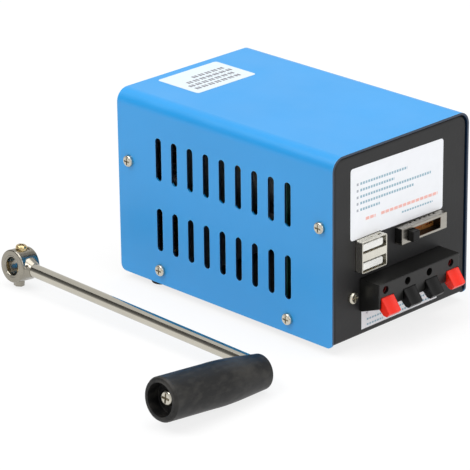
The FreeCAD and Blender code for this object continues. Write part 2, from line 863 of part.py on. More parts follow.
def make_capacitors():
    cans = []
    top = BOARD_FACE + CAPACITOR_L
    for y, z, r in CAPACITORS:
        c = bar_x(r, BOARD_FACE, top, y, z)
        rim = edges_where(c, lambda e: e.Closed and near(e.CenterOfMass.x, top))
        cans.append(c.makeFillet(CAPACITOR_ROUND, rim))
    return group(cans)


def make_choke_ring():
    y, z = CHOKE_YZ
    return Part.makeTorus(CHOKE_R, CHOKE_WIRE_R, V(BOARD_FACE + CHOKE_WIRE_R, y, up(z)), V(1, 0, 0))


def make_chips():
    hy, hz = CHIP_HALF
    return group(
        [box(BOARD_FACE, BOARD_FACE + CHIP_T, y - hy, y + hy, up(z - hz), up(z + hz)) for y, z in CHIPS]
    )


def make_usb_board():
    return box(*USB_BOARD_X, *USB_BOARD_Y, up(USB_BOARD_Z[0]), up(USB_BOARD_Z[1]))


def bent_wire(points):
    """Insulated lead along straight runs with ball-shaped corners."""
    parts = []
    for a, b in zip(points[:-1], points[1:]):
        parts.append(rod(LEAD_R, a, b))
    for p in points[1:-1]:
        parts.append(Part.makeSphere(LEAD_R, V(*p)))
    return join(parts)


def motor_lead(side):
    """From a motor tab down and across to the regulator board."""
    y, z = train_centres()[3]
    x = motor_x()[1] + TAB_LEAD_AT[0]
    y = y + side * (TAB_Y + TAB_T / 2 + LEAD_R)
    low = up(z - TAB_LEAD_DROP[0 if side < 0 else 1])
    return bent_wire([(x, y, up(z + TAB_LEAD_AT[1])), (x, y, low), (BOARD_X, y, low)])


def output_lead(way):
    """From the regulator board to the back of one terminal way."""
    y = lever_centres()[way]
    low = up(OUTPUT_LEAD_Z[0 if way in (0, 3) else 1])
    high = up(OUTPUT_LEAD_Z[2])
    x = OUTPUT_LEAD_X
    return bent_wire([(BOARD_FACE, y, low), (x, y, low), (x, y, high), (TERM_BACK_X, y, high)])


# Output panel parts


def usb_ports():
    """Height ranges of the lower and the upper port."""
    low = USB_Z[0] + USB_RIM
    high = USB_Z[1] - USB_RIM
    return ((low, low + USB_PORT_H), (high - USB_PORT_H, high))


def make_usb_shell():
    """Folded metal shell around both ports, with latch windows in its top."""
    x0 = USB_BACK_X
    x1 = PANEL_X + USB_OUT
    y0, y1 = USB_Y
    top = USB_Z[1]
    shell = box(x0, x1, y0, y1, up(USB_Z[0]), up(top))
    shell = shell.makeFillet(USB_ROUND, edges_where(shell, lambda e: along(e, (1, 0, 0))))
    y0 = y0 + USB_WALL
    y1 = y1 - USB_WALL
    cuts = [box(x0 + USB_FLOOR, x1 + PAST, y0, y1, up(low), up(high)) for low, high in usb_ports()]
    below = usb_ports()[0][1] + USB_RIM
    above = usb_ports()[1][0] - USB_RIM
    cuts.append(box(x0 + USB_FLOOR, x1 - USB_MOUTH, y0, y1, up(below), up(above)))
    for window in USB_LATCH:
        cuts.append(box(*window, up(top - PAST), up(top + PAST)))
    return shell.cut(cuts)


def make_usb_tongues():
    """White insulator with a tongue in each port."""
    y0, y1 = USB_Y
    back_in, side_in, gap = USB_ROOT
    tip = PANEL_X + USB_OUT - TONGUE_TIP
    parts = []
    for low, high in usb_ports():
        back_y = (y0 + side_in, y1 - side_in)
        back = box(USB_BACK_X + back_in, USB_ROOT_X, *back_y, up(low + gap), up(high - gap))
        side = y1 - TONGUE_Y[1]
        tongue = box(USB_ROOT_X, tip, y0 + TONGUE_Y[0], side, up(low + TONGUE_Z[0]), up(high - TONGUE_Z[1]))
        nose = edges_where(tongue, lambda e: along(e, (1, 0, 0)) and near(e.CenterOfMass.y, side))
        parts.append(join([back, tongue.makeFillet(TONGUE_ROUND, nose)]))
    return group(parts)


def make_switch_frame():
    """Bent metal frame with a long window, open at both ends."""
    x0 = SWITCH_FRAME_X
    x1 = PANEL_X + SWITCH_OUT
    y0, y1 = SWITCH_Y
    z0, z1 = SWITCH_Z
    t = SWITCH_T
    f = box(x0, x1, y0, y1, up(z0), up(z1))
    front = edges_where(f, lambda e: along(e, (0, 1, 0)) and near(e.CenterOfMass.x, x1))
    f = f.makeFillet(SWITCH_ROUND, front)
    left, right, rim = WINDOW_IN
    cuts = [box(x0 - PAST, x1 - t, y0 - PAST, y1 + PAST, up(z0 + t), up(z1 - t))]
    cuts.append(box(x1 - t - PAST, x1 + PAST, y0 + left, y1 - right, up(z0 + rim), up(z1 - rim)))
    for k in range(SWITCH_DIMPLES):
        y = y0 + DIMPLE_Y + DIMPLE_PITCH * k
        half = DIMPLE_HALF
        cuts.append(box(*DIMPLE_X, y - half, y + half, up(z1 - PAST), up(z1 + PAST)))
    return f.cut(cuts)


def switch_well():
    """Range in y and height of the well that the knob slides in."""
    left, right, rim = WELL_IN
    return SWITCH_Y[0] + left, SWITCH_Y[1] - right, up(SWITCH_Z[0] + rim), up(SWITCH_Z[1] - rim)


def make_switch_body():
    x1 = PANEL_X + SWITCH_OUT - SWITCH_T
    y0, y1 = SWITCH_Y
    z0, z1 = SWITCH_Z
    y0 = y0 + SWITCH_FIT
    y1 = y1 - SWITCH_FIT
    b = box(SWITCH_BACK_X, x1, y0, y1, up(z0 + SWITCH_T), up(z1 - SWITCH_T))
    return b.cut(box(SWITCH_FLOOR_X, x1 + PAST, *switch_well()))


def make_switch_board():
    return box(SWITCH_FLOOR_X, SWITCH_FLOOR_X + SWITCH_BOARD_T, *switch_well())


def make_switch_knob():
    """Black slider with its thumb stub, at the left end of the window."""
    y0, _, z0, z1 = switch_well()
    x1 = PANEL_X + SWITCH_OUT
    y0 = y0 + KNOB_FIT
    y1 = y0 + KNOB_W
    block_x = (SWITCH_FLOOR_X + KNOB_BLOCK_IN, x1 - KNOB_BLOCK_IN)
    block = box(*block_x, y0, y1, z0 + KNOB_SIDE_FIT, z1 - KNOB_SIDE_FIT)
    d = KNOB_STUB_IN
    tip = x1 + KNOB_OUT
    stub = box(x1 - KNOB_STUB_ROOT, tip, y0 + d, y1 - d, z0 + d, z1 - d)
    stub = stub.makeFillet(KNOB_ROUND, edges_where(stub, lambda e: near(e.CenterOfMass.x, tip)))
    return join([block, stub])


# Push terminal


def lever_centres():
    return [LEVER_PITCH * (i - 1.5) + LEVER_SHIFT for i in range(4)]


def wire_hole_y(way):
    return lever_centres()[way] + WIRE_HOLE_SHIFT


def make_terminal_body():
    """Four-way block: wire holes over lever pockets that are open below and in front."""
    x0 = PANEL_X - CHASSIS_T
    x1 = PANEL_X + TERM_OUT
    h = TERM_HALF
    profile = [
        (x0, -h, up(TERM_LOW)),
        (x0, -h, up(TERM_TOP)),
        (x1, -h, up(TERM_TOP)),
        (x1, -h, up(TERM_FACE_LOW)),
        (PANEL_X + 1.5, -h, up(TERM_LOW)),
    ]
    block = prism(profile, (0, 2 * h, 0))
    front = edges_where(
        block, lambda e: near(e.CenterOfMass.x, x1) and e.CenterOfMass.z > up(TERM_FACE_LOW) + 1
    )
    block = block.makeFillet(TERM_ROUND, front)
    half, low, high, thick = TERM_FLANGE
    flange = box(x0 - thick, x0, -half, half, up(low), up(high))
    back = box(TERM_BACK_X, x0 - thick, -h + 1, h - 1, up(TERM_LOW + 1), up(TERM_TOP - 1))
    cuts = []
    w = LEVER_W / 2 + LEVER_GAP
    for way, y in enumerate(lever_centres()):
        cuts.append(bar_x(WIRE_HOLE_R, WIRE_HOLE_END_X, x1 + PAST, wire_hole_y(way), WIRE_HOLE_Z))
        cuts.append(box(POCKET_X, x1 + PAST, y - w, y + w, up(TERM_LOW - PAST), up(POCKET_TOP)))
    for side in (-1, 1):
        y = side * PANEL_SCREW_Y
        cuts.append(bar_x(M3_R, x0 - thick - PAST, x0 + PAST, y, PANEL_SCREW_Z))
    return join([block, flange, back]).cut(cuts)


def make_terminal_rings():
    """Red rings set back in the first and last wire holes."""
    rings = []
    x1 = PANEL_X + TERM_OUT - RING_IN
    for way in (0, 3):
        centre = (wire_hole_y(way), WIRE_HOLE_Z)
        rings.append(bush(WIRE_HOLE_R, WIRE_HOLE_R - RING_T, x1 - RING_L, x1, centre))
    return group(rings)


def make_lever(way):
    """Press lever of one way: round root and a sloping, slightly dished thumb plate."""
    px, pz = LEVER_PIVOT
    y0 = lever_centres()[way] - LEVER_W / 2
    r = LEVER_ROOT_R
    corners = [(px, pz + r), LEVER_HEEL, LEVER_TIP, *LEVER_UNDER, (px, pz - r)]
    thumb = prism([(x, y0, up(z)) for x, z in corners], (0, LEVER_W, 0))
    tips = edges_where(thumb, lambda e: along(e, (0, 1, 0)) and e.CenterOfMass.x > LEVER_HEEL[0] - 0.1)
    thumb = thumb.makeFillet(LEVER_ROUND, tips)
    slope = V(LEVER_TIP[0] - LEVER_HEEL[0], 0, LEVER_TIP[1] - LEVER_HEEL[1])
    slope.normalize()
    out = V(-slope.z, 0, slope.x)
    middle = V((LEVER_HEEL[0] + LEVER_TIP[0]) / 2, y0 + LEVER_W / 2, up((LEVER_HEEL[1] + LEVER_TIP[1]) / 2))
    start = middle + out * (DISH_R - DISH_DEEP) - slope * LEVER_W
    dish = Part.makeCylinder(DISH_R, 2 * LEVER_W, start, slope)
    root = rod(r, (px, y0, up(pz)), (px, y0 + LEVER_W, up(pz)))
    return join([thumb.cut(dish), root])


# Labels


def film(points, move):
    """Thin film with rounded corners."""
    s = prism(points, move)
    return s.makeFillet(LABEL_ROUND, edges_where(s, lambda e: along(e, move)))


def make_panel_label():
    """Slightly tilted film that leaves the sockets and the switch free."""
    y0, y1 = PANEL_LABEL_Y
    z0, z1 = PANEL_LABEL_Z
    drop = (y1 - y0) * PANEL_LABEL_TILT
    x = PANEL_X
    corners = [(x, y0, up(z0)), (x, y1, up(z0 - drop)), (x, y1, up(z1 - drop)), (x, y0, up(z1))]
    g = LABEL_GAP
    cuts = []
    for (ya, yb), (za, zb) in ((USB_Y, USB_Z), (SWITCH_Y, SWITCH_Z)):
        cuts.append(box(x - PAST, x + PAST, ya - g, yb + g, up(za - g), up(zb + g)))
    return film(corners, (LABEL_T, 0, 0)).cut(cuts)


def make_terminal_label():
    y0, y1 = TERM_LABEL_Y
    z0, z1 = TERM_LABEL_Z
    return box(PANEL_X, PANEL_X + LABEL_T, y0, y1, up(z0), up(z1))


def make_top_label():
    x0, x1 = TOP_LABEL_X
    y0, y1 = TOP_LABEL_Y
    z = up(CASE_H)
    return film([(x0, y0, z), (x1, y0, z), (x1, y1, z), (x0, y1, z)], (0, 0, LABEL_T))


# Crank, drawn with its hub at the local origin, arm along x, grip towards -y


def pin_bar(half):
    return rod(PIN_R, (PIN_X, -half, PIN_Z), (PIN_X, half, PIN_Z))


def make_crank_hub():
    """Plated ring with a short tapered neck for the arm and flats for the cross bolt."""
    ring = rod(HUB_R, (0, -HUB_HALF, 0), (0, HUB_HALF, 0))
    ring = ring.makeFillet(HUB_ROUND, edges_where(ring, lambda e: e.Closed))
    (x0, r0), (x1, r1) = NECK
    hub = join([ring, cone(r0, r1, (x0, 0, 0), (x1, 0, 0))])
    seat = -HUB_HALF + BUSH_LEN
    cuts = [rod(BORE_R + BUSH_WALL, (0, -HUB_HALF - PAST, 0), (0, seat, 0))]
    cuts.append(rod(BORE_R, (0, -HUB_HALF, 0), (0, HUB_HALF + PAST, 0)))
    cuts.append(rod(ARM_R, (ARM_START, 0, 0), (x1 + PAST, 0, 0)))
    cuts.append(rod(BOLT_R, (0, 0, -HUB_R - PAST), (0, 0, HUB_R + PAST)))
    f = HUB_FLAT_HALF
    for z in (HUB_FLAT, -HUB_FLAT - 2 * PAST):
        cuts.append(box(-f, f, -f, f, z, z + 2 * PAST))
    cuts.append(pin_bar(HUB_R))
    return hub.cut(cuts)


def make_hub_bush():
    """Thin plain ring in the mouth of the hub's bore."""
    mouth = -HUB_HALF
    ring = rod(BORE_R + BUSH_WALL - RUN, (0, mouth, 0), (0, mouth + BUSH_LEN - BUSH_SHORT, 0))
    ring = ring.cut(rod(BORE_R, (0, mouth - PAST, 0), (0, mouth + BUSH_LEN + PAST, 0)))
    inner = edges_where(
        ring, lambda e: e.Closed and near(e.CenterOfMass.y, mouth) and near(e.Curve.Radius, BORE_R)
    )
    return ring.makeChamfer(BORE_CHAMFER, inner)


def spindle_end():
    return grip_y(GRIP_LEN - GRIP_RECESS) - SPINDLE_PROUD


def make_crank_arm():
    """Round rod with a tight right-angle bend, its short leg the grip's spindle."""
    corner = CRANK_R - ARM_BEND_R
    end = spindle_end()
    run = rod(ARM_R, (ARM_START, 0, 0), (corner, 0, 0))
    disc = Part.Face(Part.Wire(Part.makeCircle(ARM_R, V(corner, 0, 0), V(1, 0, 0))))
    bend = disc.revolve(V(corner, -ARM_BEND_R, 0), V(0, 0, -1), 90)
    spindle = rod(ARM_R, (CRANK_R, -ARM_BEND_R, 0), (CRANK_R, end, 0))
    cuts = [pin_bar(HUB_R)]
    cuts.append(rod(M3_R, (CRANK_R, end - PAST, 0), (CRANK_R, end + GRIP_SCREW_L + PAST, 0)))
    return run.fuse([bend, spindle]).cut(cuts)


def make_arm_pin():
    return pin_bar(PIN_HALF)


def make_hub_bolt():
    """Bolt across the hub, its end just past the nut."""
    return pan_screw((0, 0, HUB_FLAT), (0, 0, 1), HUB_FLAT + BOLT_TIP, BOLT_HEAD_R, BOLT_HEAD_H, BOLT_R)


def make_hub_nut():
    corners = []
    for k in range(6):
        t = math.radians(NUT_TURN + 60 * k)
        r = NUT_FLATS / math.sqrt(3)
        corners.append((r * math.cos(t), r * math.sin(t), -HUB_FLAT - NUT_H))
    nut = prism(corners, (0, 0, NUT_H))
    return nut.cut(rod(BOLT_R, (0, 0, -HUB_FLAT - NUT_H - PAST), (0, 0, 0)))


def grip_y(s):
    """Place along y of a distance s from the grip's back face."""
    return -GRIP_BACK - s


def make_grip():
    """Moulded grip, tapered towards the arm, with a deep recess for the screw's head."""
    bore = ARM_R + GRIP_RUN
    floor = GRIP_LEN - GRIP_RECESS
    back_r = GRIP_TAPER[0][1] - GRIP_EDGE
    mouth, bottom = GRIP_RECESS_R

    def at(r, s):
        return V(CRANK_R + r, grip_y(s), 0)

    back = Part.makeLine(at(bore, 0), at(back_r, 0))
    lean = GRIP_EDGE * (1 - math.sqrt(0.5))
    edge = Part.Arc(at(back_r, 0), at(GRIP_TAPER[0][1] - lean, lean), at(GRIP_TAPER[0][1], GRIP_EDGE))
    taper = Part.BSplineCurve()
    taper.interpolate([at(r, s) for s, r in GRIP_TAPER])
    lines = Part.makePolygon(
        [
            at(GRIP_TAPER[-1][1], GRIP_TAPER[-1][0]),
            *[at(GRIP_END_R - inward, GRIP_LEN - back) for inward, back in GRIP_NOSE],
            at(mouth, GRIP_LEN),
            at(bottom, floor),
            at(bore, floor),
            at(bore, 0),
        ]
    )
    wire = Part.Wire([back, edge.toShape(), taper.toShape()] + lines.Edges)
    return Part.Face(wire).revolve(V(CRANK_R, 0, 0), V(0, 1, 0), 360)


def make_grip_screw():
    """Pan head screw in the spindle's end that keeps the grip on."""
    head_r, head_h = GRIP_SCREW_HEAD
    return pan_screw((CRANK_R, spindle_end(), 0), (0, -1, 0), GRIP_SCREW_L, head_r, head_h)


def crank_axes():
    """Unit vectors at rest: along the arm, from grip to hub, and up."""
    ex = V(math.cos(ARM_DIP), 0, -math.sin(ARM_DIP))
    level = V(0, 1, 0)
    above = ex.cross(level)
    ey = level * math.cos(GRIP_LIFT) - above * math.sin(GRIP_LIFT)
    return ex, ey, ex.cross(ey)


def turn_onto_shaft(phi):
    """Axis and angle that turn the lying crank onto the shaft with its arm at phi."""
    ex, ey, ez = crank_axes()
    gy = V(1, 0, 0)
    gx = V(0, math.cos(phi), math.sin(phi))
    gz = gx.cross(gy)
    rows = [[gx[i] * ex[j] + gy[i] * ey[j] + gz[i] * ez[j] for j in range(3)] for i in range(3)]
    trace = rows[0][0] + rows[1][1] + rows[2][2]
    angle = math.acos((trace - 1) / 2)
    axis = V(rows[2][1] - rows[1][2], rows[0][2] - rows[2][0], rows[1][0] - rows[0][1])
    axis.normalize()
    return axis, angle, gz


def crank_fit():
    """One turn about a fixed axis that takes the crank from the table to the shaft.

    The crank may sit on the shaft at any angle about it, so that angle is chosen
    to leave no shift along the turning axis: of those, the one with the least turn."""
    rest = V(*HUB_REST)
    goal = V(HUB_ON_SHAFT_X, SHAFT_Y, up(SHAFT_Z))
    move = goal - rest
    steps = 720
    best = None
    last = None
    for k in range(steps + 1):
        phi = math.pi * (0.5 + k / steps)
        shift = turn_onto_shaft(phi)[0].dot(move)
        if last is not None and last[1] * shift <= 0 and abs(shift) < 30:
            low, high = last[0], phi
            for _ in range(60):
                mid = (low + high) / 2
                if turn_onto_shaft(low)[0].dot(move) * turn_onto_shaft(mid)[0].dot(move) <= 0:
                    high = mid
                else:
                    low = mid
            if best is None or turn_onto_shaft(low)[1] < turn_onto_shaft(best)[1]:
                best = low
        last = (phi, shift)
    axis, angle, bolt = turn_onto_shaft(best)
    pivot = (rest + goal) * 0.5 + axis.cross(move) * (0.5 / math.tan(angle / 2))
    return {"phi": best, "axis": axis, "angle": angle, "pivot": pivot, "bolt_on_shaft": bolt}


def lay_crank(shape):
    """Places a crank piece as it lies on the table."""
    ex, ey, ez = crank_axes()
    x, y, z = HUB_REST
    m = FreeCAD.Matrix(ex.x, ey.x, ez.x, x, ex.y, ey.y, ez.y, y, ex.z, ey.z, ez.z, z, 0, 0, 0, 1)
    laid = shape.copy()
    laid.Placement = FreeCAD.Placement(m).multiply(laid.Placement)
    return laid


# All pieces


def build():
    nodes = {
        "cover": make_cover(),
        "chassis": make_chassis(),
        "feet": make_feet(),
        "cover_screws": make_cover_screws(),
        "panel_screws": make_panel_screws(),
        "post_screws": make_post_screws(),
        "gearbox_plate_front": make_front_plate(),
        "gearbox_plate_back": make_back_plate(),
        "gearbox_spacers": make_spacers(),
        "input_bushes": make_input_bushes(),
        "idler_bushes": make_idler_bushes(),
        "input_shaft": make_input_shaft(),
        "shaft_clip": make_shaft_clip(),
        "input_gear": make_input_gear(),
        "motor_pinion": make_motor_pinion(),
        "motor_rotor": make_rotor(),
        "motor_can": make_motor_can(),
        "motor_magnets": make_motor_magnets(),
        "motor_cap": make_motor_cap(),
        "motor_tabs": make_motor_tabs(),
        "motor_screws": make_motor_screws(),
        "regulator_board": make_regulator_board(),
        "board_brackets": make_board_brackets(),
        "heat_sink": make_heat_sink(),
        "capacitors": make_capacitors(),
        "choke_ring": make_choke_ring(),
        "chips": make_chips(),
        "usb_board": make_usb_board(),
        "motor_leads": group([motor_lead(-1), motor_lead(1)]),
        "output_leads_red": group([output_lead(0), output_lead(3)]),
        "output_leads_black": group([output_lead(1), output_lead(2)]),
        "usb_shell": make_usb_shell(),
        "usb_tongues": make_usb_tongues(),
        "switch_frame": make_switch_frame(),
        "switch_body": make_switch_body(),
        "switch_board": make_switch_board(),
        "switch_knob": make_switch_knob(),
        "terminal_body": make_terminal_body(),
        "terminal_rings": make_terminal_rings(),
        "panel_label": make_panel_label(),
        "terminal_label": make_terminal_label(),
        "top_label": make_top_label(),
    }
    for index in (1, 2):
        nodes["idler_%d_pinion" % index] = make_idler_pinion(index)
        nodes["idler_%d_gear" % index] = make_idler_gear(index)
    for way in range(4):
        nodes["terminal_lever_%d" % (way + 1)] = make_lever(way)
    crank = {
        "crank_hub": make_crank_hub(),
        "hub_bush": make_hub_bush(),
        "crank_arm": make_crank_arm(),
        "arm_pin": make_arm_pin(),
        "hub_bolt": make_hub_bolt(),
        "hub_nut": make_hub_nut(),
        "crank_grip": make_grip(),
        "grip_screw": make_grip_screw(),
    }
    for name, shape in crank.items():
        nodes[name] = lay_crank(shape)
    return nodes


def middle_of(nodes):
    """Middle in x and y, and lowest height, of the box around all pieces."""
    whole = FreeCAD.BoundBox()
    for shape in nodes.values():
        whole.add(shape.optimalBoundingBox())
    return (whole.XMin + whole.XMax) / 2, (whole.YMin + whole.YMax) / 2, whole.ZMin


def main():
    os.makedirs("parts", exist_ok=True)
    nodes = build()
    middle_x, middle_y, lowest = middle_of(nodes)
    for name, shape in nodes.items():
        moved = shape.copy()
        moved.translate(V(-middle_x, -middle_y, -lowest))
        moved.exportStep("parts/" + name + ".step")
    return middle_x, middle_y, lowest


ORIGIN_X, ORIGIN_Y, LOWEST = main()
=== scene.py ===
import bpy
import bmesh
import json
import math
from mathutils import Matrix, Vector


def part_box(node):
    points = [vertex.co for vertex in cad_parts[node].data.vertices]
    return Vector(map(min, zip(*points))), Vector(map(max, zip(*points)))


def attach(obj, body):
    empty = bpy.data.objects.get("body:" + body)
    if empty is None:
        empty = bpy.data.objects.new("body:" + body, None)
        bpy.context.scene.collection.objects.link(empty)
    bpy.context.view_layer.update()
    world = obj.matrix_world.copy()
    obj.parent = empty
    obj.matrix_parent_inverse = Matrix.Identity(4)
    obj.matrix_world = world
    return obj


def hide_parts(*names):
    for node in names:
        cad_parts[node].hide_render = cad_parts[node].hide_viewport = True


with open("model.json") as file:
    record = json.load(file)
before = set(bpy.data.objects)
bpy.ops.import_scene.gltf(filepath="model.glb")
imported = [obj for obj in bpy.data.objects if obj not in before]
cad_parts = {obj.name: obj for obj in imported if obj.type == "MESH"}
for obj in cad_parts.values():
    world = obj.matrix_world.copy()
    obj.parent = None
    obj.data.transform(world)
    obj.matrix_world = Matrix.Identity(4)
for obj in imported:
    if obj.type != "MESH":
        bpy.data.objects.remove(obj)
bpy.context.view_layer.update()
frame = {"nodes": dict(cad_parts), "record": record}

# Hand crank generator on a white table. Metres, in the frame of the solids.

MM = 0.001

# Camera, placed from the middle of the case's lower edge
PHOTO_PX = 470
FOCAL_PX = 2970.9
SENSOR_MM = 36.0
CAMERA_FROM_CASE = (0.84764, -0.87052, 0.50802)
CAMERA_AZIMUTH = math.radians(45.41)
CAMERA_ELEVATION = math.radians(21.80)
CAMERA_ROLL = math.radians(-0.70)

# Light: each lamp's place and size in metres, and its watts
SKY_LEVEL = 0.62
FLOOR_GLOW = 0.80
FLOOR_WHITE = 0.86
FLOOR_SIZE = 9.0
LAMPS = {
    "key": ((-0.35, -0.95, 1.35), (1.1, 0.8), 15.0),
    "top": ((0.1, 0.25, 1.5), (1.3, 1.3), 13.5),
    "side": ((1.25, 0.15, 0.75), (0.9, 0.9), 5.0),
}

# Dark cards, in card distances, with levels from bottom to top as (share of the height, level)
CARD_DISTANCE = 0.9
FRONT_SPAN = (-2.6, -0.25)
FRONT_TOP = 1.95
FRONT_LEVELS = ((0.0, 0.62), (0.06, 0.45), (0.18, 0.20), (0.32, 0.12), (0.95, 0.04), (1.0, 0.04))
BACK_SPAN = (-0.3, 1.3)
BACK_LOW = 0.55
BACK_TOP = 1.7
BACK_LEVELS = ((0.0, 0.85), (0.2, 0.60), (0.8, 0.12), (1.0, 0.20))

# Case, as in the solids
COVER_LOW, COVER_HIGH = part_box("cover")
CASE_X = (COVER_LOW[0] + COVER_HIGH[0]) / 2
CASE_Y = (COVER_LOW[1] + COVER_HIGH[1]) / 2
CASE_Z = COVER_LOW[2]
CASE_MIDDLE = 40.0
LABEL_FACE = 64.72
LABEL_LEFT = -31.3
LABEL_SLOPE = math.tan(math.radians(1.2))
TOP_LABEL_FACE = 85.12
CHIPS = ((0.0, 44.0), (8.0, 31.0), (-0.2, 19.0))
CHOKE_CENTRE = (35.8, -20.0, 36.0)
CHOKE_R = 7.0

# Print on the labels, in millimetres
PRINT_T = 0.02
PRINT_SINK = 0.01
DASH = 1.1
DASH_GAP = 0.5
TEXT_LEFT = -25.4
TEXT_TOP = 70.0
TEXT_PITCH = 2.9
TEXT_LENGTHS = (29.0, 21.0, 44.0, 33.0, 12.0)
TEXT_H = 1.1
BULLET_Y = (-27.6, -26.5)
BAND_RUNS = ((-22.0, -16.0), (-12.5, 23.0))
BAND_Z = 53.6
BAND_H = 1.3
BAND_DASH = 2.2
FOOT_RUN = (0.5, 20.0)
FOOT_Z = 50.6
SMALL_H = 0.8
STRIP_RUNS = ((-21.0, -11.0), (-7.0, 5.5), (9.5, 20.5))
STRIP_Z = (5.0, 7.4)
SIGNS = ((-20.9, True), (-7.2, False), (6.5, False), (20.2, True))
SIGN_HALF = 0.8
SIGN_BAR = (10.35, 10.7)
SIGN_POST = (9.7, 11.35)
SIGN_POST_HALF = 0.18
TOP_ROWS = ((-9.0, 9.5), (-16.0, 9.5), (-18.5, 8.0), (-18.5, 6.0))
TOP_ROW_X = -53.0
TOP_ROW_PITCH = 4.0
TOP_MARK = (2.3, 1.2)
TOP_MARK_SHIFTS = (0.0, 1.7)
TOP_MARK_PITCH = 4.0

# Contacts, legs and winding, in millimetres
PORTS = (31.5, 40.0)
BLADES = 4
BLADE_X = (59.0, 66.8)
BLADE_Y = -25.4
BLADE_PITCH = 2.5
BLADE_Z = (0.63, 0.77)
STRIP_CONTACT_X = (64.09, 64.25)
STRIP_CONTACT_Y = 3.0
STRIP_CONTACT_PITCH = 6.6
STRIP_CONTACT_L = 4.0
STRIP_CONTACT_Z = ((39.2, 40.0), (41.0, 41.8))
LEGS = 5
LEG_PITCH = 1.6
LEG_X = (32.6, 33.6)
LEG_Y = ((5.9, -0.6), (5.1, 0.4))
LEG_HALF = 0.3
TURNS = 26
POINTS_PER_TURN = 12
TURN_R = 3.75
COPPER_R = 0.5

# Leads, in metres
LEAD_R = 0.0009
LEAD_STEP = 0.006
LEAD_DROP = 0.008
LEAD_BEND = 0.006
LEAD_CORNER = (0.0004, 0.0006)
LEAD_END = 0.002
OUTPUT_LEAD_X = 47.0
OUTPUT_LEAD_START = 0.006
OUTPUT_LEAD_END = 0.003


def at(x, y, z):
    """Place in millimetres from the middle of the case's lower edge."""
    return Vector((CASE_X + x * MM, CASE_Y + y * MM, CASE_Z + z * MM))


def srgb(red, green, blue):
    """Linear colour of a colour given in 0 to 255."""
    out = []
    for c in (red, green, blue):
        c = c / 255
        out.append(c / 12.92 if c <= 0.04045 else ((c + 0.055) / 1.055) ** 2.4)
    return (*out, 1.0)


# Materials


